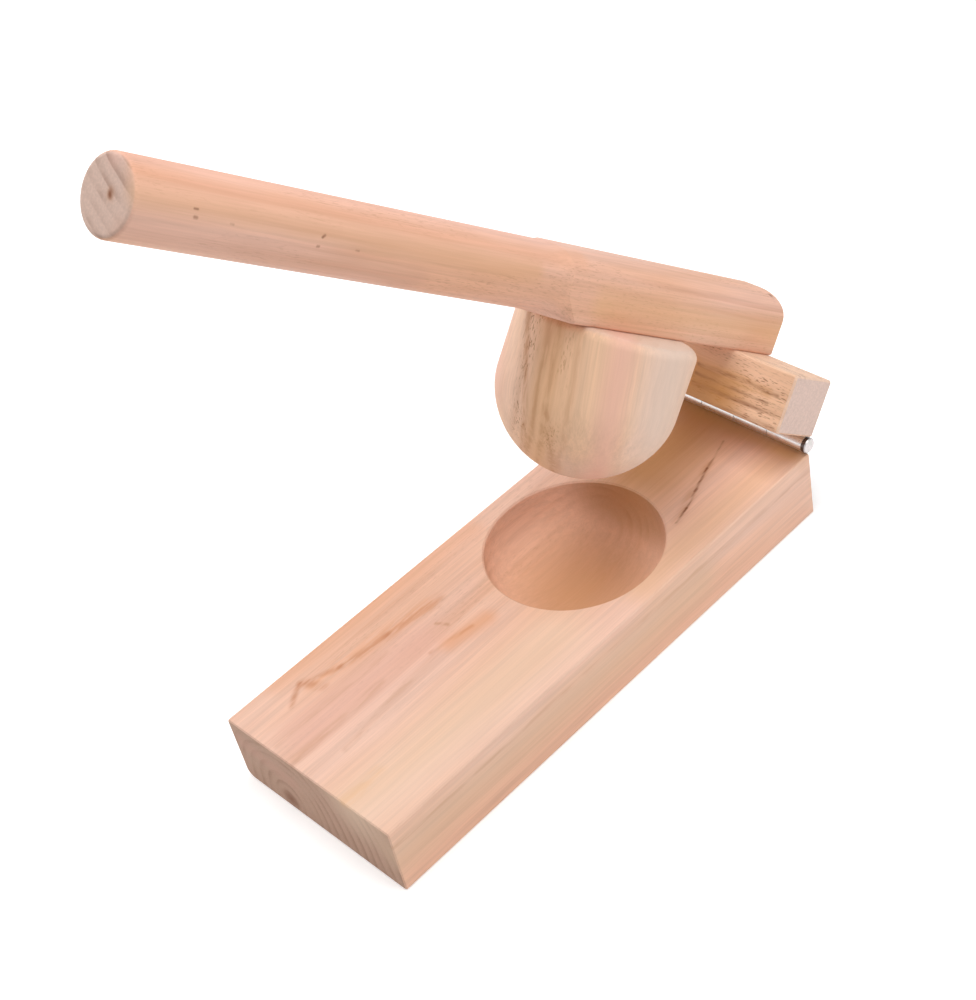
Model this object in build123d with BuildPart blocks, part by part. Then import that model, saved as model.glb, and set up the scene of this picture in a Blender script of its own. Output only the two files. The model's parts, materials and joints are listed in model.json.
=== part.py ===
from build123d import *
import os
from math import atan2, cos, degrees, hypot, radians, sin

# Sizes in millimetres, angles in degrees. X runs across the board, Y along it towards the
# hinge and Z up. The origin is the centre of the board's underside, where it stands.

# Base board
base_length = 300
base_width = 114
base_thickness = 40
base_edge_round = 1
base_end_bevel = 0.6
base_waney_round = 5

# Bowl-shaped hollow in the base board
hollow_radius = 46
hollow_depth = 34
hollow_wall = 8
hollow_corner = 22
hollow_rim_bevel = 0.8
hollow_to_back = 117

# Butt hinge of rolled plate
hinge_inset = 0.2
leaf_thickness = 1.6
leaf_reach = 32
leaf_corner = 3
knuckle_count = 5
knuckle_side_gap = 0.3
knuckle_notch_gap = 0.5
curl_seam = 0.3
curl_bend = 1
pin_diameter = 5
pin_clearance = 0.05
pin_head_thickness = 2.5
pin_head_gap = 0.2
pin_head_bevel = 0.5
button_plug = 6
button_gap = 0.3
barrel_gap = 0.4

# Cross block between the hinge and the lever
block_depth = 33.8
block_height = 30.4
block_edge_round = 1.2
block_end_bevel = 1

# Lever with its round handle
lever_length = 418
lever_width = 36
lever_height = 32
lever_top_round = 14.5
lever_edge_round = 1.5
lever_square_length = 165
lever_shoulder_length = 24
lever_back_round = 12
handle_diameter = 31.6
handle_end_round = 2

# Turned punch
punch_clearance = 1.2
punch_wall = 33.8
punch_corner = 36
punch_top_round = 5
stop_clearance = 0.5

# Dowel that holds the punch
dowel_diameter = 14
dowel_in_lever = 20
dowel_in_punch = 30
dowel_clearance = 0.05
dowel_end_gap = 1
dowel_chamfer = 1

# Wood screws of the hinge, and the longer ones between block and lever
screw_clearance = 0.05
screw_end_gap = 1
screw_point_length = 5
screw_point_radius = 0.4
hinge_screw_diameter = 4
hinge_screw_head = 7
hinge_screw_length = 24
hinge_screw_count = 4
hinge_screw_spacing = 27
hinge_screw_row = 19
hinge_screw_stagger = 10
block_screw_diameter = 5
block_screw_head = 9.4
block_screw_length = 50
block_screw_count = 2
block_screw_spacing = 13

# How far the lever stands open, and how far from level it still is when the punch stops it
open_angle = 39.1
closed_tilt = 1.5

# Places on the board
barrel_bore = pin_diameter / 2 + pin_clearance
barrel_radius = barrel_bore + leaf_thickness
back_face = base_length / 2
hinge_length = base_width - 2 * (hinge_inset + pin_head_thickness + pin_head_gap)
hinge_y = back_face + leaf_thickness / 2
hinge_z = base_thickness + barrel_radius + barrel_gap
hollow_y = back_face - hollow_to_back
hollow_floor = base_thickness - hollow_depth

# Places on the arm, measured from the hinge axis along the lever and square to it
arm_back = back_face - hinge_y
block_underside = barrel_radius + barrel_gap
block_middle = arm_back - block_depth / 2
lever_underside = block_underside + block_height
lever_middle = lever_underside + lever_height / 2
square_front = arm_back - lever_square_length
shoulder_front = square_front - lever_shoulder_length
handle_front = arm_back - lever_length
punch_middle = hollow_y - hinge_y

# The punch reaches down until it just clears the floor of the hollow
punch_radius = hollow_radius - punch_clearance
stop_drop = hinge_z - hollow_floor - stop_clearance
stop_lean = -punch_middle * sin(radians(closed_tilt))
punch_height = lever_underside + (stop_drop + stop_lean) / cos(radians(closed_tilt))

# The arm's own directions as it stands open
swing = radians(open_angle)
arm_backward = Vector(0, cos(swing), -sin(swing))
arm_up = Vector(0, sin(swing), cos(swing))


def arm_point(x, y, z):
    """A point of the arm, given from the hinge axis, where it stands over the board."""
    return Vector(x, hinge_y, hinge_z) + arm_backward * y + arm_up * z


def arm_section(y, z):
    """Plane square across the lever, seen from the handle's end."""
    return Plane(origin=arm_point(0, y, z), x_dir=(1, 0, 0), z_dir=arm_backward * -1)


def arm_side(y, z):
    """Plane along the middle of the lever, with the back end to the right and its top up."""
    return Plane(origin=arm_point(0, y, z), x_dir=arm_backward, z_dir=(1, 0, 0))


def arm_above(y, z):
    """Plane along the lever, seen from above it."""
    return Plane(origin=arm_point(0, y, z), x_dir=(1, 0, 0), z_dir=arm_up)


def arm_below(y, z):
    """Plane along the lever, seen from under it."""
    return Plane(origin=arm_point(0, y, z), x_dir=(1, 0, 0), z_dir=arm_up * -1)


# The hinge axis as seen from the side and from behind, for the board's leaf and for the arm's
board_leaf_side = Plane(origin=(0, hinge_y, hinge_z), x_dir=(0, 1, 0), z_dir=(-1, 0, 0))
board_leaf_back = Plane(origin=(0, hinge_y, hinge_z), x_dir=(1, 0, 0), z_dir=(0, 1, 0))
arm_leaf_side = arm_side(0, 0)
arm_leaf_back = Plane(origin=arm_point(0, 0, 0), x_dir=(-1, 0, 0), z_dir=arm_backward)


def bowl_outline(plane, radius, wall, depth, corner):
    """Half outline of a bowl or dome: a straight wall, a tight arc and a wide floor arc."""
    inner = radius - corner
    rounded = depth - wall
    floor = (inner**2 + rounded**2 - corner**2) / (2 * (rounded - corner))
    rise = floor - rounded
    turn = degrees(atan2(rise, inner))
    with BuildSketch(plane) as outline:
        with BuildLine():
            Line((0, -depth), (0, 0))
            Line((0, 0), (radius, 0))
            Line((radius, 0), (radius, -wall))
            CenterArc((inner, -wall), corner, 0, -turn)
            CenterArc((0, rise - wall), floor, -turn, turn - 90)
        make_face()
    return outline.sketch


def row(count, spacing):
    """Places of a row of equal steps about its middle."""
    return [(i - (count - 1) / 2) * spacing for i in range(count)]


# Where the hinge screws pass the leaves: evenly spaced, high and low by turns
leaf_holes = [
    (x, hinge_screw_row + hinge_screw_stagger * (i % 2 - 0.5))
    for i, x in enumerate(row(hinge_screw_count, hinge_screw_spacing))
]
hinge_pilot = hinge_screw_diameter / 2 + screw_clearance
hinge_pilot_depth = hinge_screw_length - leaf_thickness + screw_end_gap
block_holes = [(0, y) for y in row(block_screw_count, block_screw_spacing)]
block_pilot = block_screw_diameter / 2 + screw_clearance

# Base board
with BuildPart() as base_board:
    with BuildSketch(Plane.XZ.offset(-back_face)):
        with Locations((0, base_thickness / 2)):
            Rectangle(base_width, base_thickness)
    extrude(amount=base_length)
    low_edges = base_board.edges().filter_by(Axis.Y).group_by(Axis.Z)[0].sort_by(Axis.X)
    fillet(low_edges[0], base_waney_round)
    long_edges = base_board.edges().filter_by(Axis.Y).group_by(Axis.Z)
    fillet(long_edges[-1] + [long_edges[0].sort_by(Axis.X)[-1]], base_edge_round)
    ends = base_board.faces().sort_by(Axis.Y)
    chamfer(ends[0].edges() + ends[-1].edges(), base_end_bevel)
    hollow_side = Plane(origin=(0, hollow_y, base_thickness), x_dir=(1, 0, 0), z_dir=(0, -1, 0))
    hollow = bowl_outline(hollow_side, hollow_radius, hollow_wall, hollow_depth, hollow_corner)
    revolve(hollow, axis=Axis((0, hollow_y, 0), (0, 0, 1)), mode=Mode.SUBTRACT)
    rim = base_board.edges().filter_by(GeomType.CIRCLE).group_by(Axis.Z)[-1]
    chamfer(rim, hollow_rim_bevel)
    with Locations(board_leaf_back.offset(arm_back)):
        with Locations(leaf_holes):
            Hole(radius=hinge_pilot, depth=hinge_pilot_depth)
base_board.part.label = "base_board"


def hinge_leaf(side, back, own_knuckle):
    """A leaf with its knuckles: a plate on the wood's back face, rolled round the pin."""
    outer = barrel_radius
    with BuildPart() as leaf:
        with BuildSketch(side) as section:
            Circle(outer)
            Rectangle(leaf_thickness, leaf_reach, align=(Align.CENTER, Align.MIN))
            bend = section.vertices().sort_by_distance((leaf_thickness / 2, outer))[0]
            fillet(bend, curl_bend)
            Circle(barrel_bore, mode=Mode.SUBTRACT)
            with Locations((-leaf_thickness / 2, 0)):
                Rectangle(curl_seam, outer, align=(Align.MAX, Align.MIN), mode=Mode.SUBTRACT)
        extrude(amount=hinge_length / 2, both=True)
        with BuildSketch(back) as outline:
            with Locations((0, (leaf_reach - outer) / 2)):
                Rectangle(hinge_length, leaf_reach + outer)
            fillet(outline.vertices().group_by(Axis.Y)[-1], leaf_corner)
        extrude(amount=outer, both=True, mode=Mode.INTERSECT)
        notches = [x for i, x in enumerate(row(knuckle_count, hinge_length / knuckle_count))
                   if i % 2 != own_knuckle]
        with BuildSketch(back):
            with Locations([(x, 0) for x in notches]):
                Rectangle(
                    hinge_length / knuckle_count + knuckle_side_gap,
                    2 * (outer + knuckle_notch_gap),
                )
        extrude(amount=outer, both=True, mode=Mode.SUBTRACT)
        with Locations(back.offset(leaf_thickness / 2)):
            with Locations(leaf_holes):
                CounterSinkHole(
                    radius=hinge_pilot,
                    counter_sink_radius=hinge_screw_head / 2 + screw_clearance,
                    counter_sink_angle=90,
                )
    return leaf


# Hinge leaves: three knuckles on the board's leaf, two on the block's
hinge_leaf_base = hinge_leaf(board_leaf_side, board_leaf_back, 0)
hinge_leaf_base.part.label = "hinge_leaf_base"
hinge_leaf_block = hinge_leaf(arm_leaf_side, arm_leaf_back, 1)
hinge_leaf_block.part.label = "hinge_leaf_block"

# Hinge pin with its flat head at the side that faces the viewer
pin_end = hinge_length / 2 + pin_head_gap
with BuildPart() as hinge_pin:
    with BuildSketch(Plane.YZ.offset(pin_end)):
        with Locations((hinge_y, hinge_z)):
            Circle(pin_diameter / 2)
    extrude(amount=-(pin_end + hinge_length / 2 - button_plug))
    with BuildSketch(Plane.YZ.offset(pin_end)):
        with Locations((hinge_y, hinge_z)):
            Circle(barrel_radius)
    extrude(amount=pin_head_thickness)
    chamfer(hinge_pin.faces().sort_by(Axis.X)[-1].edges(), pin_head_bevel)
hinge_pin.part.label = "hinge_pin"

# Button pressed into the other end of the barrel
with BuildPart() as hinge_button:
    with BuildSketch(Plane.YZ.offset(-pin_end)):
        with Locations((hinge_y, hinge_z)):
            Circle(pin_diameter / 2)
    extrude(amount=button_plug + pin_head_gap - button_gap)
    with BuildSketch(Plane.YZ.offset(-pin_end)):
        with Locations((hinge_y, hinge_z)):
            Circle(barrel_radius)
    extrude(amount=-pin_head_thickness)
    chamfer(hinge_button.faces().sort_by(Axis.X)[0].edges(), pin_head_bevel)
hinge_button.part.label = "hinge_button"

# Cross block
with BuildPart() as cross_block:
    with BuildSketch(arm_below(block_middle, block_underside)):
        Rectangle(base_width, block_depth)
    extrude(amount=-block_height)
    fillet(cross_block.edges().filter_by(Axis.X), block_edge_round)
    sides = cross_block.faces().sort_by(Axis.X)
    chamfer(sides[0].edges() + sides[-1].edges(), block_end_bevel)
    with Locations(arm_below(block_middle, block_underside)):
        with Locations(block_holes):
            CounterSinkHole(
                radius=block_pilot,
                counter_sink_radius=block_screw_head / 2 + screw_clearance,
                depth=block_height,
                counter_sink_angle=90,
            )
    with Locations(arm_leaf_back.offset(arm_back)):
        with Locations(leaf_holes):
            Hole(radius=hinge_pilot, depth=hinge_pilot_depth)
cross_block.part.label = "cross_block"


# Lever: squared below where the punch and block sit, turned round where the hand holds it
handle_radius = handle_diameter / 2
lever_corner = hypot(lever_width, lever_height) / 2
lever_axis = Axis(arm_point(0, 0, lever_middle), arm_backward)
with BuildPart() as lever:
    with BuildSketch(arm_section(arm_back, lever_middle)) as outline:
        Rectangle(lever_width, lever_height)
        fillet(outline.vertices().group_by(Axis.Y)[-1], lever_top_round)
        fillet(outline.vertices().group_by(Axis.Y)[0], lever_edge_round)
    extrude(amount=arm_back - shoulder_front)
    with BuildSketch(arm_side((arm_back + shoulder_front) / 2, lever_middle)) as back_outline:
        Rectangle(arm_back - shoulder_front, lever_height)
        back_top = back_outline.vertices().group_by(Axis.Y)[-1].sort_by(Axis.X)[-1]
        fillet(back_top, lever_back_round)
    extrude(amount=lever_width, both=True, mode=Mode.INTERSECT)
    # The lower corners run out into the handle in a turned shoulder
    with BuildSketch(arm_side(square_front, lever_middle)):
        with BuildLine():
            TangentArc((-lever_shoulder_length, handle_radius), (0, lever_corner), tangent=(1, 0))
            Line((0, lever_corner), (-lever_shoulder_length, lever_corner))
            Line((-lever_shoulder_length, lever_corner), (-lever_shoulder_length, handle_radius))
        make_face()
    revolve(axis=lever_axis, mode=Mode.SUBTRACT)
    with BuildSketch(arm_section(shoulder_front, lever_middle)):
        Circle(handle_radius)
    extrude(amount=shoulder_front - handle_front)
    front = lever.faces().sort_by(Axis((0, 0, 0), arm_backward))[0]
    fillet(front.edges(), handle_end_round)
    with Locations(arm_below(block_middle, lever_underside)):
        with Locations(block_holes):
            Hole(radius=block_pilot, depth=block_screw_length - block_height + screw_end_gap)
    with Locations(arm_below(punch_middle, lever_underside)):
        Hole(radius=dowel_diameter / 2 + dowel_clearance, depth=dowel_in_lever + dowel_end_gap)
lever.part.label = "lever"

# Punch, turned round the axis that meets the middle of the hollow
punch_axis = Axis(arm_point(0, punch_middle, 0), arm_up)
with BuildPart() as punch:
    seat = arm_section(punch_middle, lever_underside)
    dome = bowl_outline(seat, punch_radius, punch_wall, punch_height, punch_corner)
    revolve(dome, axis=punch_axis)
    top = punch.faces().sort_by(Axis((0, 0, 0), arm_up))[-1]
    fillet(top.edges(), punch_top_round)
    with Locations(arm_above(punch_middle, lever_underside)):
        Hole(radius=dowel_diameter / 2 + dowel_clearance, depth=dowel_in_punch + dowel_end_gap)
punch.part.label = "punch"

# Dowel between punch and lever
with BuildPart() as punch_dowel:
    with BuildSketch(arm_above(punch_middle, lever_underside - dowel_in_punch)):
        Circle(dowel_diameter / 2)
    extrude(amount=dowel_in_punch + dowel_in_lever)
    chamfer(punch_dowel.edges().filter_by(GeomType.CIRCLE), dowel_chamfer)
punch_dowel.part.label = "punch_dowel"


def screws(plane, places, diameter, head, length):
    """Countersunk wood screws, their heads flush with the plane and their points behind it."""
    shank = diameter / 2
    with BuildPart() as group:
        for x, y in places:
            centre = plane.from_local_coords((x, y, 0))
            with BuildSketch(Plane(origin=centre, x_dir=plane.x_dir, z_dir=-plane.y_dir)):
                Polygon(
                    (0, 0),
                    (head / 2, 0),
                    (shank, shank - head / 2),
                    (shank, screw_point_length - length),
                    (screw_point_radius, -length),
                    (0, -length),
                    align=None,
                )
            revolve(axis=Axis(centre, plane.z_dir))
    return group


# Screws: four in each leaf, and two from under the block up into the lever
hinge_screw = (hinge_screw_diameter, hinge_screw_head, hinge_screw_length)
block_screw = (block_screw_diameter, block_screw_head, block_screw_length)
base_screws = screws(board_leaf_back.offset(leaf_thickness / 2), leaf_holes, *hinge_screw)
base_screws.part.label = "base_screws"
block_screws = screws(arm_leaf_back.offset(leaf_thickness / 2), leaf_holes, *hinge_screw)
block_screws.part.label = "block_screws"
lever_screws = screws(arm_below(block_middle, block_underside), block_holes, *block_screw)
lever_screws.part.label = "lever_screws"

# One file for each piece or set of like fasteners
os.makedirs("parts", exist_ok=True)
export_step(base_board.part, "parts/base_board.step")
export_step(lever.part, "parts/lever.step")
export_step(cross_block.part, "parts/cross_block.step")
export_step(punch.part, "parts/punch.step")
export_step(punch_dowel.part, "parts/punch_dowel.step")
export_step(hinge_leaf_base.part, "parts/hinge_leaf_base.step")
export_step(hinge_leaf_block.part, "parts/hinge_leaf_block.step")
export_step(hinge_pin.part, "parts/hinge_pin.step")
export_step(hinge_button.part, "parts/hinge_button.step")
export_step(base_screws.part, "parts/base_screws.step")
export_step(block_screws.part, "parts/block_screws.step")
export_step(lever_screws.part, "parts/lever_screws.step")
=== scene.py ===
import json
from math import cos, radians, sin

import bpy
from mathutils import Matrix, Vector

# Lengths in metres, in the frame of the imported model: X across the board, Y towards the hinge, Z up
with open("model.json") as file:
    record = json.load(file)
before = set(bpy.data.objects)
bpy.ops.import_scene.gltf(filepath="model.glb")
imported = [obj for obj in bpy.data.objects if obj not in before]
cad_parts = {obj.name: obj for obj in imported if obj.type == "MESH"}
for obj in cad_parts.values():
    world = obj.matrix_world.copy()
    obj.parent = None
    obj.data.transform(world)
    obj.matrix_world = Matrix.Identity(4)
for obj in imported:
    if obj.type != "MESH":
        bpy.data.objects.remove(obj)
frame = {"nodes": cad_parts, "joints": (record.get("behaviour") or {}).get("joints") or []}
nodes = frame["nodes"]
scene = bpy.context.scene
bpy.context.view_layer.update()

# How the arm stands in the model, seen from its hinge
arm_angle = radians(39.1)
hinge_place = Vector(frame["joints"][0]["pos_m"])
across = Vector((1, 0, 0))
along_board = Vector((0, 1, 0))
arm_backward = Vector((0, cos(arm_angle), -sin(arm_angle)))
arm_up = Vector((0, sin(arm_angle), cos(arm_angle)))

# Camera
camera_azimuth = radians(53.49)
camera_elevation = radians(40.86)
camera_roll = radians(13.52)
camera_place = Vector((0.52046, -0.39781, 0.66448))
camera_lens = 66.25
camera_sensor = 36
camera_nearest = 0.01

# Light: the world's on the wood, the lamps' power in watts, and where they point
world_light = 0.42
lamp_aim = Vector((0, 0, 0.08))
top_lamp_power = 12.5
left_lamp_power = 5.5
right_lamp_power = 6.8

# Floor: its glow near the press, where its shadow shows, and far away, where it is plain white
floor_size = 8.0
floor_drop = 0.0002
floor_glow_near = 0.32
floor_glow_far = 1.0
glow_starts = 0.6
glow_ends = 2.2

# Colours as they show, in the usual screen values
board_pale = (0.94, 0.78, 0.70)
board_warm = (0.92, 0.73, 0.62)
board_late = (0.79, 0.56, 0.43)
board_end = (0.75, 0.60, 0.51)
board_end_late = (0.60, 0.43, 0.34)
lever_pale = (0.92, 0.74, 0.66)
lever_warm = (0.89, 0.68, 0.55)
lever_late = (0.77, 0.54, 0.44)
lever_end = (0.83, 0.71, 0.65)
lever_end_late = (0.66, 0.53, 0.47)
block_pale = (0.95, 0.80, 0.69)
block_warm = (0.94, 0.77, 0.63)
block_late = (0.62, 0.40, 0.25)
block_end = (0.88, 0.77, 0.72)
block_end_late = (0.78, 0.65, 0.59)
punch_pale = (0.94, 0.79, 0.70)
punch_warm = (0.92, 0.76, 0.63)
punch_late = (0.72, 0.52, 0.37)
punch_end = (0.88, 0.75, 0.67)
dowel_pale = (0.89, 0.76, 0.60)
dowel_warm = (0.86, 0.70, 0.52)
dowel_late = (0.74, 0.57, 0.40)
cream = (0.95, 0.84, 0.73)
golden = (0.90, 0.71, 0.51)
# Also painted shade behind the hollow, under the block and behind the punch
honey_and_shade = (0.76, 0.55, 0.32)
# Painted shade in the hollow
hollow_shade_gold = (0.93, 0.71, 0.50)
orange = (0.90, 0.64, 0.47)
pink = (0.92, 0.71, 0.64)
grey_pink = (0.87, 0.78, 0.72)
tan = (0.72, 0.50, 0.34)
rust = (0.74, 0.47, 0.31)
# Also painted shade along the lever handle's lower side
dusk_and_shade = (0.79, 0.61, 0.53)
amber = (0.86, 0.65, 0.47)
side_tan = (0.84, 0.71, 0.59)
brown = (0.50, 0.29, 0.17)
knuckle_pale = (0.95, 0.95, 0.95)
knuckle_dull = (0.91, 0.91, 0.92)
plate_grey = (0.79, 0.79, 0.80)
steel_pale = (0.84, 0.81, 0.81)
steel_dull = (0.78, 0.77, 0.76)
# Painted shade round the pin's sides
pin_side_shade = (0.26, 0.22, 0.22)
floor_white = (0.98, 0.98, 0.98)

# White as a shader takes it
white_light = (1, 1, 1, 1)

# How fine each noise in the wood is, in waves to a metre
bend_fineness = 16.0
cloud_fineness = 26.0
ring_fade_fineness = 45.0
pore_band_fineness = 75.0
waver_fineness = 90.0
line_fineness = 330.0
ragged_fineness = 420.0
speck_fineness = 900.0
fibre_fineness = 1300.0
pore_fineness = 1500.0

# How slowly the noises change along the grain, against across it
slow_pace = 0.15
waver_pace = 0.3
fibre_pace = 0.022

# How far the noises push the rings and the streaks, and the width past which a streak stays whole
ring_bend = 0.016
streak_waver = 0.004
patch_width = 0.008

# The wood's surface: rings left in calm wood, worn edges, gloss, and how deep grain and pores are
calm_rings = 0.12
wood_edge = 0.0010
wood_edge_wear = 0.18
wood_gloss = 0.3
ring_height = 0.15
wood_relief = 0.00015

# The steel's surface: worn edges, brushing, and where a leaf's knuckles end and its plate begins
steel_edge = 0.0004
steel_edge_wear = 0.4
steel_cloud_fineness = 260.0
steel_relief = 0.00005
knuckle_reach = 0.0043
plate_reach = 0.0060


def as_light(colour):
    """A screen colour as the light that a shader takes."""
    return tuple(
        c / 12.92 if c <= 0.04045 else ((c + 0.055) / 1.055) ** 2.4 for c in colour
    ) + (1.0,)


class Graph:
    """A material's nodes, added one after the other."""

    def __init__(self, name):
        self.material = bpy.data.materials.new(name)
        self.material.use_nodes = True
        self.tree = self.material.node_tree
        self.shader = self.tree.nodes["Principled BSDF"]
        coordinates = self.tree.nodes.new("ShaderNodeTexCoord")
        self.place = coordinates.outputs["Object"]
        self.normal = coordinates.outputs["Normal"]

    def put(self, value, socket):
        """Links a socket to another one, or sets it to a number, a vector or a colour."""
        if isinstance(value, bpy.types.NodeSocket):
            self.tree.links.new(value, socket)
        else:
            socket.default_value = value

    def finish(self, name, value):
        """Gives the shader one of its inputs."""
        self.put(value, self.shader.inputs[name])

    def math(self, operation, *values, clamp=False):
        node = self.tree.nodes.new("ShaderNodeMath")
        node.operation = operation
        node.use_clamp = clamp
        for i, value in enumerate(values):
            self.put(value, node.inputs[i])
        return node.outputs[0]

    def product(self, first, *others):
        for other in others:
            first = self.math("MULTIPLY", first, other)
        return first

    def vector(self, operation, *values, output="Vector"):
        node = self.tree.nodes.new("ShaderNodeVectorMath")
        node.operation = operation
        for i, value in enumerate(values):
            self.put(value, node.inputs[i])
        return node.outputs[output]

    def dot(self, first, second):
        return self.vector("DOT_PRODUCT", first, second, output="Value")

    def length(self, first):
        return self.vector("LENGTH", first, output="Value")

    def join(self, x, y, z):
        node = self.tree.nodes.new("ShaderNodeCombineXYZ")
        for i, value in enumerate((x, y, z)):
            self.put(value, node.inputs[i])
        return node.outputs[0]

    def noise(self, place, fineness, detail=2.0, output="Fac"):
        node = self.tree.nodes.new("ShaderNodeTexNoise")
        self.put(place, node.inputs["Vector"])
        self.put(fineness, node.inputs["Scale"])
        self.put(detail, node.inputs["Detail"])
        return node.outputs[output]

    def sway(self, place, fineness):
        """A noise with a direction, which pushes all ways alike."""
        colour = self.noise(place, fineness, output="Color")
        return self.vector("SUBTRACT", colour, (0.5, 0.5, 0.5))

    def span(self, value, low, high, to_low=0.0, to_high=1.0):
        """Carries a value smoothly from one range to another."""
        node = self.tree.nodes.new("ShaderNodeMapRange")
        node.interpolation_type = "SMOOTHSTEP"
        for i, number in enumerate((value, low, high, to_low, to_high)):
            self.put(number, node.inputs[i])
        return node.outputs[0]

    def mix(self, share, first, second, blend="MIX"):
        node = self.tree.nodes.new("ShaderNodeMix")
        node.data_type = "RGBA"
        node.blend_type = blend
        sockets = {s.identifier: s for s in [*node.inputs, *node.outputs]}
        self.put(share, sockets["Factor_Float"])
        self.put(first, sockets["A_Color"])
        self.put(second, sockets["B_Color"])
        return sockets["Result_Color"]

    def shade(self, colour, light):
        """A colour made lighter or darker by a number near 1."""
        return self.mix(1.0, colour, self.join(light, light, light), "MULTIPLY")

    def facing(self, direction, low, high, to_low=0.0, to_high=1.0):
        """Carries how squarely a surface faces a direction, or its opposite, to a range."""
        turned = self.math("ABSOLUTE", self.dot(self.normal, tuple(direction)))
        return self.span(turned, low, high, to_low, to_high)

    def bump(self, height, strength, distance):
        node = self.tree.nodes.new("ShaderNodeBump")
        node.inputs["Strength"].default_value = strength
        node.inputs["Distance"].default_value = distance
        self.put(height, node.inputs["Height"])
        self.finish("Normal", node.outputs[0])

    def wear(self, radius):
        """How near a surface is to an edge: 0 on the flat, 1 on the edge."""
        rounded = self.tree.nodes.new("ShaderNodeBevel")
        rounded.samples = 6
        rounded.inputs["Radius"].default_value = radius
        plain = self.tree.nodes.new("ShaderNodeNewGeometry").outputs["Normal"]
        return self.span(self.dot(rounded.outputs[0], plain), 0.995, 0.80)


class Grain:
    """Which way a piece of wood lies: its own origin, along its grain, across it, and its pith.

    A place in the wood is given by its distances across the grain, along it and square to both.
    """

    def __init__(self, origin, along, side, pith):
        self.origin = origin
        self.along = along
        self.side = side
        self.face = side.cross(along)
        self.pith = pith

    def own_place(self, graph):
        """The place in the wood, from its own origin and in its own directions."""
        from_origin = graph.vector("SUBTRACT", graph.place, tuple(self.origin))
        axes = (self.side, self.along, self.face)
        return graph.join(*[graph.dot(from_origin, tuple(axis)) for axis in axes])


class Streak:
    """A line or patch of another colour, from one place in the wood to another.

    A deep one runs right through the wood, and a whole one isn't broken up along the grain.
    """

    def __init__(self, colour, strength, width, start, end, deep=False, whole=False):
        self.colour = colour
        self.strength = strength
        self.width = width
        self.start = Vector(start)
        self.end = Vector(end)
        self.deep = deep
        self.whole = whole or width > patch_width

    def share(self, graph, place):
        """The streak's strength along its middle, falling smoothly to 0 at its width."""
        run = self.end - self.start
        away = graph.vector("SUBTRACT", place, tuple(self.start))
        passed = graph.math("DIVIDE", graph.dot(away, tuple(run)), run.length_squared, clamp=True)
        aside = graph.vector("MULTIPLY_ADD", passed, tuple(-run), away)
        if self.deep:
            aside = graph.vector("MULTIPLY", aside, (1.0, 1.0, 0.0))
        return graph.product(graph.span(graph.length(aside), self.width, 0.0), self.strength)


def late_wood(graph, own, slow, pith, ring_gap):
    """The dark part of each ring round the pith, bent by slow noise and fading in places."""
    bend = graph.sway(slow, bend_fineness)
    from_pith = graph.vector("MULTIPLY_ADD", bend, (ring_bend, 0.0, ring_bend), own)
    from_pith = graph.vector("SUBTRACT", from_pith, (pith[0], 0.0, pith[1]))
    from_pith = graph.vector("MULTIPLY", from_pith, (1.0, 0.0, 1.0))
    ring = graph.math("FRACT", graph.math("DIVIDE", graph.length(from_pith), ring_gap))
    rise = graph.span(ring, 0.10, 0.86)
    fall = graph.span(ring, 1.0, 0.88)
    fade = graph.span(graph.noise(slow, ring_fade_fineness), 0.35, 0.68, 0.1, 1.0)
    return graph.product(rise, rise, fall, fade)


def lively_share(graph, own, lively):
    """1 between two distances across the grain, falling to 0 over the margin beside them."""
    lowest, highest, margin = lively
    side = graph.dot(own, (1.0, 0.0, 0.0))
    return graph.product(
        graph.span(side, lowest - margin, lowest),
        graph.span(side, highest + margin, highest),
    )


def add_streaks(graph, colour, own, place, slow, streaks):
    """Lays streaks over a colour, wavering with the grain and broken up along it."""
    waver = graph.vector("MULTIPLY", place, (1.0, waver_pace, 1.0))
    waver = graph.sway(waver, waver_fineness)
    wavered = graph.vector("MULTIPLY_ADD", waver, (streak_waver, 0.0, streak_waver), own)
    ragged = graph.span(graph.noise(slow, ragged_fineness, 3.0), 0.38, 0.58, 0.30, 1.0)
    for streak in streaks:
        share = streak.share(graph, wavered)
        if not streak.whole:
            share = graph.product(share, ragged)
        colour = graph.mix(share, colour, as_light(streak.colour))
    return colour


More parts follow.
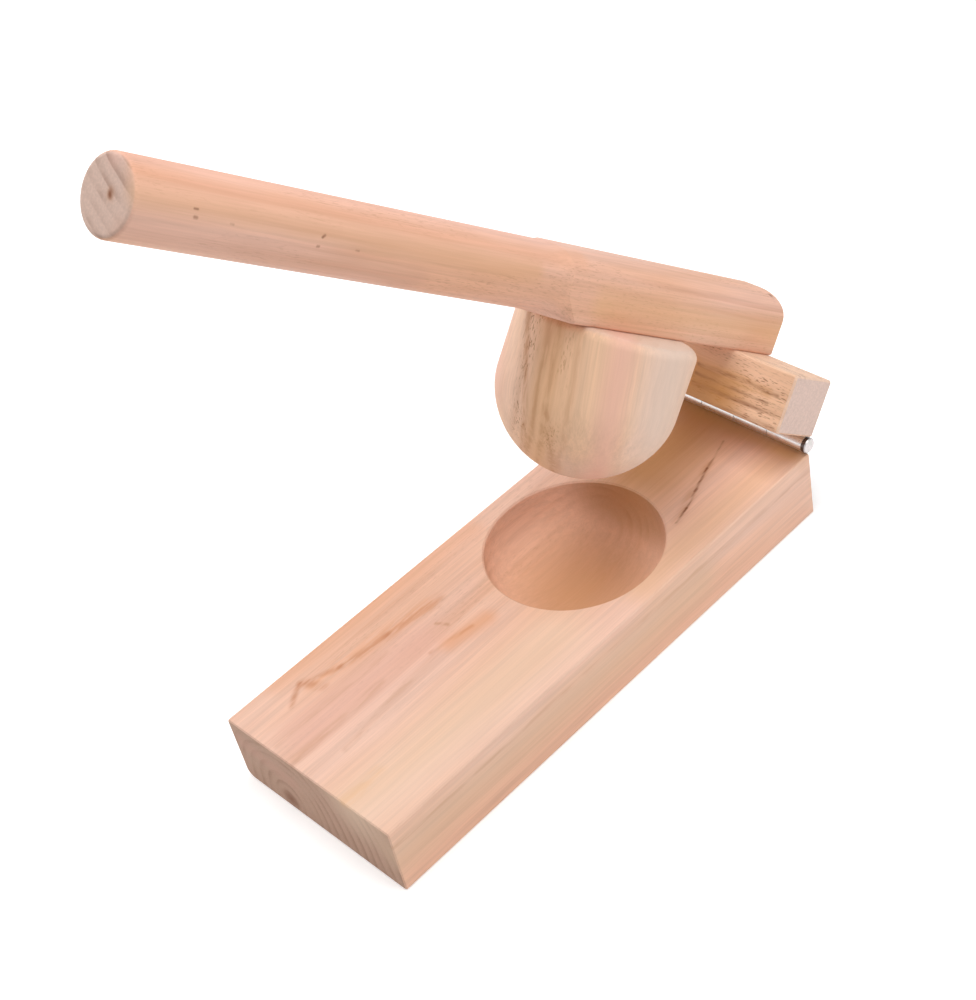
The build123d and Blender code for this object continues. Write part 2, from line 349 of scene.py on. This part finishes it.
def wood(
    name, grain, colours, start, ring_gap, ring_depth, dash_depth, end_rings,
    lively=(-1.0, 1.0, 0.01), streaks=(),
):
    """Bare wood with rings round its pith, fibres, dark pores, streaks and duller end grain.

    The colours are the wood's pale, warm and late ones and those of its end grain. The start is
    where the noises begin, and sets one wood apart from another. Outside the lively part, the
    rings are faint and there are no pores.
    """
    pale, warm, late, end, end_late = (as_light(c) for c in colours)
    graph = Graph(name)
    own = grain.own_place(graph)
    place = graph.vector("ADD", own, (start, start, start))
    slow = graph.vector("MULTIPLY", place, (1.0, slow_pace, 1.0))
    fine = graph.vector("MULTIPLY", place, (1.0, fibre_pace, 1.0))
    end_facing = graph.facing(grain.along, 0.55, 0.95)
    inside = lively_share(graph, own, lively)
    all_rings = late_wood(graph, own, slow, grain.pith, ring_gap)
    rings = graph.product(all_rings, graph.span(inside, 0.0, 1.0, calm_rings, 1.0))

    # Broad clouds and rings, then fibres and pores
    cloud = graph.span(graph.noise(slow, cloud_fineness, 3.0), 0.36, 0.66)
    colour = graph.mix(cloud, pale, warm)
    colour = graph.mix(graph.product(rings, ring_depth), colour, late)
    fibre = graph.noise(fine, fibre_fineness, 3.0)
    lines = graph.noise(fine, line_fineness)
    light = graph.product(
        graph.span(fibre, 0.3, 0.7, 0.945, 1.03),
        graph.span(lines, 0.3, 0.7, 0.93, 1.035),
    )
    colour = graph.shade(colour, light)
    dash = graph.span(graph.noise(slow, pore_fineness), 0.55, 0.66)
    band = graph.span(graph.noise(slow, pore_band_fineness), 0.44, 0.60, 0.03, 1.0)
    off_end = graph.span(end_facing, 0.3, 0.0)
    pores = graph.product(dash, band, dash_depth, inside, off_end)
    colour = graph.mix(pores, colour, as_light(brown))

    # End grain, with the rings plainer
    dull = graph.mix(graph.product(all_rings, end_rings), end, end_late)
    speck = graph.span(graph.noise(place, speck_fineness), 0.35, 0.70, 0.94, 1.04)
    colour = graph.mix(end_facing, colour, graph.shade(dull, speck))

    # Streaks, and edges worn pale
    colour = add_streaks(graph, colour, own, place, slow, streaks)
    worn = graph.product(graph.wear(wood_edge), wood_edge_wear)
    graph.finish("Base Color", graph.mix(worn, colour, pale))
    graph.finish("Roughness", graph.span(fibre, 0.3, 0.7, 0.68, 0.56))
    graph.finish("Specular IOR Level", wood_gloss)
    height = graph.math("MULTIPLY_ADD", rings, ring_height, fibre)
    height = graph.math("MULTIPLY_ADD", pores, -1.0, height)
    graph.bump(height, strength=0.2, distance=wood_relief)
    return graph.material


def steel(name, stretch, fineness, pale, dull, rim=0.0, plate=0.0):
    """Plated steel with a brushed finish, dull specks and worn edges.

    The rim is how much painted shade darkens a pin's head round its side, and the plate how grey a
    leaf is away from its knuckles.
    """
    graph = Graph(name)
    brushed = graph.noise(graph.vector("MULTIPLY", graph.place, stretch), fineness, 3.0)
    cloud = graph.span(graph.noise(graph.place, steel_cloud_fineness, 3.0), 0.45, 0.75)
    colour = graph.mix(cloud, as_light(pale), as_light(dull))
    worn = graph.product(graph.wear(steel_edge), steel_edge_wear)
    colour = graph.mix(worn, colour, white_light)
    if rim:
        # Painted shade: the pin darker on every surface that doesn't face along the hinge
        around = graph.facing(across, 0.9, 0.4, 0.0, rim)
        colour = graph.mix(around, colour, as_light(pin_side_shade))
    if plate:
        from_hinge = graph.vector("SUBTRACT", graph.place, tuple(hinge_place))
        from_hinge = graph.length(graph.vector("MULTIPLY", from_hinge, (0.0, 1.0, 1.0)))
        flat = graph.span(from_hinge, knuckle_reach, plate_reach, 0.0, plate)
        colour = graph.mix(flat, colour, as_light(plate_grey))
    graph.finish("Base Color", colour)
    graph.finish("Metallic", 1.0)
    graph.finish("Roughness", graph.span(brushed, 0.3, 0.7, 0.24, 0.42))
    graph.bump(brushed, strength=0.12, distance=steel_relief)
    return graph.material


def dress(material, *names):
    """Gives nodes their material."""
    for name in names:
        nodes[name].data.materials.clear()
        nodes[name].data.materials.append(material)


# Marks in the board. First its broad tints and painted shade: pale and pink fields, orange bands,
# golden wood beside the hollow, dark gold painted shade behind the hollow and along its back edge
# under the block, darker, warmer painted shade in the hollow, and the tan of its right side
top = 0.040
front = -0.150
back = 0.150
right = 0.057
board_tints_and_shade = [
    Streak(cream, 0.45, 0.030, (0.034, front, top), (0.036, -0.020, top)),
    Streak(pink, 0.45, 0.024, (-0.020, -0.130, top), (-0.016, -0.060, top)),
    Streak(orange, 0.35, 0.012, (-0.055, -0.120, top), (-0.052, 0.010, top)),
    Streak(orange, 0.45, 0.008, (-0.040, -0.110, top), (-0.031, -0.040, top)),
    Streak(golden, 0.40, 0.018, (0.048, 0.030, top), (0.045, back, top)),
    # Painted shade: the board darker behind the hollow, under the arm, and along its back edge, under
    # the block
    Streak(honey_and_shade, 0.80, 0.045, (-0.006, 0.095, top), (-0.010, back, top)),
    Streak(honey_and_shade, 0.70, 0.012, (-0.050, 0.146, top), (0.050, 0.146, top)),
    # Painted shade: the hollow tinted darker and warmer all over
    Streak(hollow_shade_gold, 0.80, 0.064, (0.000, 0.029, 0.014), (0.000, 0.037, 0.014)),
    Streak(side_tan, 0.50, 0.020, (right, -0.145, 0.024), (right, 0.060, 0.022)),
]
# The V-shaped figure: from its point, a long arm towards the hollow, a short line beside that arm,
# and the other arm towards the front
board_figure = [
    Streak(rust, 0.58, 0.0030, (-0.0450, -0.1135, top), (-0.0365, -0.094, top)),
    Streak(rust, 0.50, 0.0036, (-0.0365, -0.094, top), (-0.0325, -0.066, top)),
    Streak(rust, 0.40, 0.0055, (-0.0325, -0.066, top), (-0.0300, -0.034, top)),
    Streak(rust, 0.50, 0.0050, (-0.0430, -0.1120, top), (-0.0340, -0.108, top)),
    Streak(rust, 0.60, 0.0026, (-0.0450, -0.1135, top), (-0.0370, -0.126, top)),
]
# The second mark, nearer the hollow, and the small fleck beside it
board_second_mark = [
    Streak(rust, 0.70, 0.0026, (-0.0065, -0.062, top), (-0.0025, -0.038, top)),
    Streak(orange, 0.60, 0.0095, (-0.0030, -0.052, top), (0.0000, -0.030, top)),
    Streak(tan, 0.50, 0.0018, (-0.018, -0.047, top), (-0.013, -0.044, top)),
]
# Faint stripes at the front
board_stripes = [
    Streak(tan, 0.28, 0.0030, (0.0043, -0.128, top), (-0.0044, -0.059, top)),
    Streak(tan, 0.28, 0.0045, (-0.0098, -0.146, top), (-0.0121, -0.090, top)),
    Streak(tan, 0.22, 0.0030, (-0.0250, -0.146, top), (-0.0235, -0.075, top)),
    Streak(golden, 0.45, 0.0060, (0.0270, front, top), (0.0267, -0.128, top)),
]
# The crack behind the hollow, in the tan wood round it
board_crack = [
    Streak(tan, 0.45, 0.0045, (0.0330, 0.074, top), (0.0190, 0.116, top)),
    Streak(brown, 0.95, 0.0014, (0.0335, 0.073, top), (0.0305, 0.084, top)),
    Streak(brown, 0.60, 0.0010, (0.0305, 0.084, top), (0.0265, 0.098, top)),
    Streak(brown, 0.90, 0.0013, (0.0268, 0.096, top), (0.0205, 0.113, top)),
    Streak(brown, 0.50, 0.0012, (0.0205, 0.113, top), (0.0137, 0.134, top)),
]
# The line along its right side, and the knot and the dusky patch in its front end
board_sides = [
    Streak(tan, 0.28, 0.0024, (right, front, 0.031), (right, back, 0.030)),
    Streak(brown, 0.80, 0.0085, (-0.0220, front, 0.007), (-0.0220, -0.140, 0.006)),
    Streak(dusk_and_shade, 0.60, 0.0090, (-0.0500, front, 0.028), (-0.0150, front, 0.024)),
]
board_marks = (
    board_tints_and_shade + board_figure + board_second_mark + board_stripes + board_crack + board_sides
)
board_wood = wood(
    "board_wood",
    Grain(Vector((0, 0, 0)), along_board, across, (-0.022, 0.004)),
    (board_pale, board_warm, board_late, board_end, board_end_late),
    start=0.0, ring_gap=0.0062, ring_depth=0.34, dash_depth=0.12, end_rings=0.6,
    lively=(-1.0, -0.010, 0.030), streaks=board_marks,
)

# Marks in the lever: its broad tints, with painted shade along the handle's lower side, the specks
# along its handle, a dark mark at its back end, and the pith in the handle's end
past_tip = -0.420
pith_front = -0.4190
pith_back = -0.4180
lever_marks = [
    Streak(golden, 0.50, 0.014, (0.018, -0.150, 0.046), (0.018, 0.000, 0.046)),
    Streak(pink, 0.40, 0.010, (0.000, past_tip, 0.067), (0.000, -0.180, 0.067)),
    Streak(orange, 0.35, 0.009, (0.0115, past_tip, 0.0625), (0.0115, -0.170, 0.0625)),
    Streak(amber, 0.45, 0.0085, (0.0155, past_tip, 0.0555), (0.0155, -0.200, 0.0555)),
    # Painted shade: the handle darker along its lower side
    Streak(dusk_and_shade, 0.40, 0.010, (0.0130, past_tip, 0.0410), (0.0130, -0.270, 0.0410)),
    Streak(brown, 0.75, 0.0009, (0.0154, -0.3920, 0.0543), (0.0154, -0.3905, 0.0543), whole=True),
    Streak(brown, 0.90, 0.0012, (0.0158, -0.3913, 0.0508), (0.0158, -0.3902, 0.0508), whole=True),
    Streak(brown, 0.70, 0.0009, (0.0158, -0.3745, 0.0514), (0.0158, -0.3730, 0.0514), whole=True),
    Streak(brown, 0.80, 0.0011, (0.0157, -0.3285, 0.0528), (0.0157, -0.3275, 0.0538), whole=True),
    Streak(brown, 0.70, 0.0009, (0.0157, -0.3300, 0.0490), (0.0157, -0.3290, 0.0490), whole=True),
    Streak(brown, 0.65, 0.0010, (0.0158, -0.3095, 0.0499), (0.0158, -0.3080, 0.0499), whole=True),
    Streak(brown, 0.80, 0.0014, (0.0110, -0.0110, 0.0650), (0.0110, -0.0050, 0.0615)),
    Streak(
        tan, 0.50, 0.0042, (0.0024, pith_front, 0.0518), (0.0024, pith_back, 0.0518), whole=True
    ),
    Streak(
        brown, 0.95, 0.0026, (0.0024, pith_front, 0.0518), (0.0024, pith_back, 0.0518), whole=True
    ),
]
lever_wood = wood(
    "lever_wood",
    Grain(hinge_place, arm_backward, across, (0.030, 0.110)),
    (lever_pale, lever_warm, lever_late, lever_end, lever_end_late),
    start=1.3, ring_gap=0.0058, ring_depth=0.30, dash_depth=0.20, end_rings=0.9,
    streaks=lever_marks,
)

# Marks in the block: painted shade on its front face behind the punch, a dark gold line along that
# face, and brown lines in its front face
block_face = -0.0346
block_marks = [
    # Painted shade: the front face darker behind the punch and under the lever
    Streak(honey_and_shade, 0.90, 0.024, (-0.035, -0.040, -0.014), (-0.035, 0.018, -0.012)),
    Streak(honey_and_shade, 0.50, 0.0050, (block_face, -0.060, -0.020), (block_face, 0.044, -0.022)),
    Streak(brown, 0.65, 0.0018, (block_face, 0.000, -0.022), (block_face, 0.050, -0.0225)),
    Streak(brown, 0.55, 0.0015, (block_face, 0.000, -0.017), (block_face, 0.046, -0.0165)),
    Streak(brown, 0.60, 0.0018, (block_face, 0.000, -0.0115), (block_face, 0.052, -0.0125)),
    Streak(brown, 0.50, 0.0014, (block_face, 0.010, -0.006), (block_face, 0.054, -0.0065)),
    Streak(brown, 0.30, 0.0012, (block_face, 0.000, 0.000), (block_face, 0.048, -0.001)),
]
block_wood = wood(
    "block_wood",
    Grain(hinge_place, across, arm_backward, (-0.060, -0.030)),
    (block_pale, block_warm, block_late, block_end, block_end_late),
    start=2.7, ring_gap=0.0042, ring_depth=0.32, dash_depth=0.65, end_rings=0.20,
    streaks=block_marks,
)

# The punch: its middle along the lever, and how its grain is turned about its axis and leans
punch_seat = -0.1178
punch_turn = radians(42.7)
punch_lean = radians(9)
punch_level = across * cos(punch_turn) + arm_backward * sin(punch_turn)
punch_side = punch_level * cos(punch_lean) + arm_up * sin(punch_lean)
punch_along = arm_up * cos(punch_lean) - punch_level * sin(punch_lean)

# Marks in the punch, from one side of its grain to the other, all of them right through it
low = -0.100
high = 0.100
punch_marks = [
    Streak(pink, 0.70, 0.010, (-0.048, low, 0), (-0.046, high, 0), deep=True),
    Streak(golden, 0.62, 0.017, (-0.020, low, 0), (-0.023, high, 0), deep=True),
    Streak(tan, 0.60, 0.0022, (-0.0196, low, 0), (-0.0410, high, 0), deep=True),
    Streak(tan, 0.45, 0.0030, (-0.0260, low, 0), (-0.0235, high, 0), deep=True),
    Streak(tan, 0.40, 0.0022, (-0.0185, low, 0), (-0.0215, high, 0), deep=True),
    Streak(tan, 0.45, 0.0026, (-0.0095, -0.045, 0), (-0.0195, -0.002, 0), deep=True),
    Streak(tan, 0.25, 0.0030, (-0.0110, low, 0), (-0.0095, high, 0), deep=True),
    Streak(pink, 0.60, 0.012, (0.008, low, 0), (0.010, high, 0), deep=True),
    Streak(grey_pink, 0.70, 0.022, (0.034, low, 0), (0.036, high, 0), deep=True),
]
punch_wood = wood(
    "punch_wood",
    Grain(hinge_place + arm_backward * punch_seat, punch_along, punch_side, (-0.300, -0.020)),
    (punch_pale, punch_warm, punch_late, punch_end, punch_late),
    start=4.1, ring_gap=0.0085, ring_depth=0.30, dash_depth=1.0, end_rings=0.25,
    lively=(-0.031, -0.017, 0.006), streaks=punch_marks,
)

# The hidden dowel
dowel_wood = wood(
    "dowel_wood",
    Grain(hinge_place, arm_up, across, (0.012, 0.010)),
    (dowel_pale, dowel_warm, dowel_late, dowel_warm, dowel_late),
    start=5.5, ring_gap=0.0025, ring_depth=0.3, dash_depth=0.4, end_rings=0.3,
)

# Steel: the leaves are brushed along the hinge, the pin is turned, and the screws are plain
leaf_steel = steel(
    "hinge_steel", (0.05, 1.0, 1.0), 2600.0, knuckle_pale, knuckle_dull, plate=0.9
)
# The pin carries painted shade round its sides
pin_steel = steel("pin_steel", (0.4, 1.0, 1.0), 1800.0, steel_pale, steel_dull, rim=0.85)
screw_steel = steel("screw_steel", (1.0, 1.0, 1.0), 1500.0, steel_pale, steel_dull)

dress(board_wood, "base_board")
dress(lever_wood, "lever")
dress(block_wood, "cross_block")
dress(punch_wood, "punch")
dress(dowel_wood, "punch_dowel")
dress(leaf_steel, "hinge_leaf_base", "hinge_leaf_block")
dress(pin_steel, "hinge_pin", "hinge_button")
dress(screw_steel, "base_screws", "block_screws", "lever_screws")


def pale_floor():
    """A white sheet under the press: white to the camera where no shadow falls."""
    graph = Graph("floor_paper")
    graph.finish("Base Color", as_light(floor_white))
    graph.finish("Roughness", 0.9)
    graph.finish("Specular IOR Level", 0.0)
    rays = graph.tree.nodes.new("ShaderNodeLightPath").outputs
    seen = graph.math("MAXIMUM", rays["Is Camera Ray"], rays["Is Glossy Ray"])
    distance = graph.length(graph.place)
    glow = graph.span(distance, glow_starts, glow_ends, floor_glow_near, floor_glow_far)
    graph.finish("Emission Color", white_light)
    graph.finish("Emission Strength", graph.product(seen, glow))
    bpy.ops.mesh.primitive_plane_add(size=floor_size, location=(0, 0, -floor_drop))
    floor = bpy.context.object
    floor.name = "floor"
    floor.data.materials.append(graph.material)


def surroundings():
    """White all round to the camera and in the steel, softer as light on the wood."""
    world = bpy.data.worlds.new("surroundings")
    scene.world = world
    world.use_nodes = True
    tree = world.node_tree
    rays = tree.nodes.new("ShaderNodeLightPath").outputs
    seen = tree.nodes.new("ShaderNodeMath")
    seen.operation = "MAXIMUM"
    tree.links.new(rays["Is Camera Ray"], seen.inputs[0])
    tree.links.new(rays["Is Glossy Ray"], seen.inputs[1])
    strength = tree.nodes.new("ShaderNodeMapRange")
    tree.links.new(seen.outputs[0], strength.inputs["Value"])
    strength.inputs["To Min"].default_value = world_light
    strength.inputs["To Max"].default_value = 1.0
    background = tree.nodes["Background"]
    background.inputs["Color"].default_value = white_light
    tree.links.new(strength.outputs[0], background.inputs["Strength"])


def soft_box(name, place, size, power):
    """A square lamp that throws soft shadows, turned to the press."""
    lamp = bpy.data.lights.new(name, "AREA")
    lamp.shape = "SQUARE"
    lamp.size = size
    lamp.energy = power
    box = bpy.data.objects.new(name, lamp)
    scene.collection.objects.link(box)
    box.location = place
    box.rotation_euler = (lamp_aim - place).to_track_quat("-Z", "Y").to_euler()


def set_camera():
    """The photograph's view: which way it looks, how it is rolled and where it stands."""
    level = Vector((cos(camera_azimuth), sin(camera_azimuth), 0))
    behind = Vector((
        sin(camera_azimuth) * cos(camera_elevation),
        -cos(camera_azimuth) * cos(camera_elevation),
        sin(camera_elevation),
    ))
    rise = behind.cross(level)
    aside = level * cos(camera_roll) - rise * sin(camera_roll)
    up = level * sin(camera_roll) + rise * cos(camera_roll)
    lens = bpy.data.cameras.new("camera")
    lens.lens = camera_lens
    lens.sensor_width = camera_sensor
    lens.clip_start = camera_nearest
    camera = bpy.data.objects.new("camera", lens)
    scene.collection.objects.link(camera)
    camera.matrix_world = Matrix((
        (aside.x, up.x, behind.x, camera_place.x),
        (aside.y, up.y, behind.y, camera_place.y),
        (aside.z, up.z, behind.z, camera_place.z),
        (0, 0, 0, 1),
    ))
    scene.camera = camera


# Stage, light and camera
scene.view_settings.view_transform = "Standard"
pale_floor()
surroundings()
soft_box("top_lamp", Vector((0.0, 0.05, 1.6)), size=0.9, power=top_lamp_power)
soft_box("left_lamp", Vector((-1.2, -0.3, 0.8)), size=0.8, power=left_lamp_power)
soft_box("right_lamp", Vector((1.4, 0.5, 0.9)), size=0.8, power=right_lamp_power)
set_camera()
